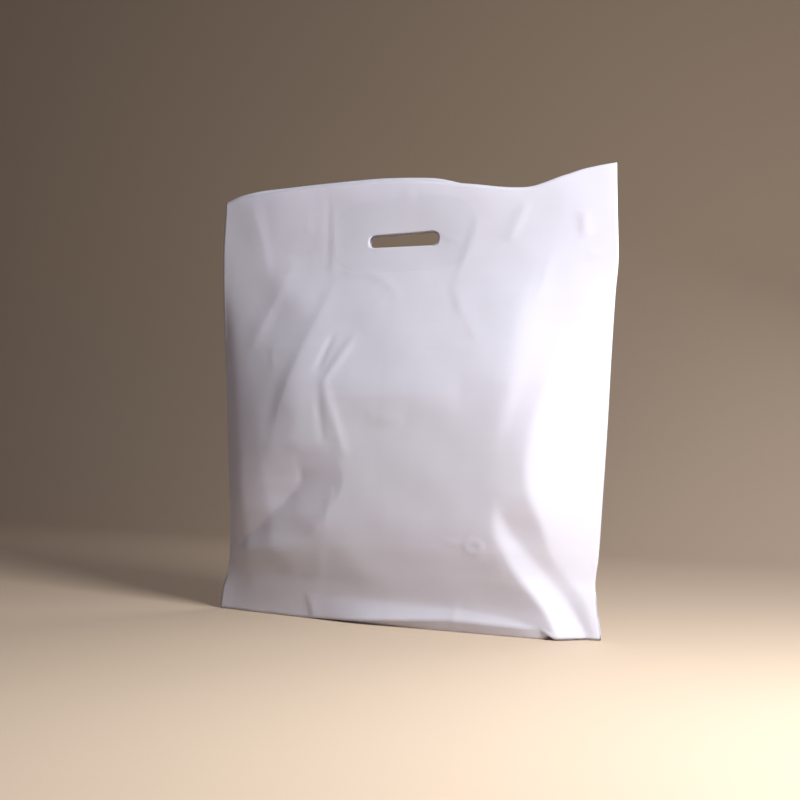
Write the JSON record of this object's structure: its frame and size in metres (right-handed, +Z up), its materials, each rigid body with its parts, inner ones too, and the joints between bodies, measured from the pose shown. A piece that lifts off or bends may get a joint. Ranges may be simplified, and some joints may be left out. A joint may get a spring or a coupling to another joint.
{
  "type": "plastic carrier bag",
  "caption": "Open plastic carrier bag with a punched handle slot, reinforcing patches and a bottom gusset, standing on its opened base to hold shopping.",
  "frame": {"origin": "centre of the bag's bounding box at floor level, on the opened base", "axes": "+Z up from the base to the mouth, +X across the bag from one side weld to the other, -Y towards the front wall"},
  "size_m": [0.4951, 0.1012, 0.5017],
  "materials": {
    "film": "white polythene film, satin, slightly translucent",
    "front_patch_film": "white polythene film, satin, slightly translucent",
    "back_patch_film": "white polythene film, satin, slightly translucent"
  },
  "bodies": {
    "root": {"bag_film": "film", "front_handle_patch": "front_patch_film", "back_handle_patch": "back_patch_film"}
  },
  "joints": []
}
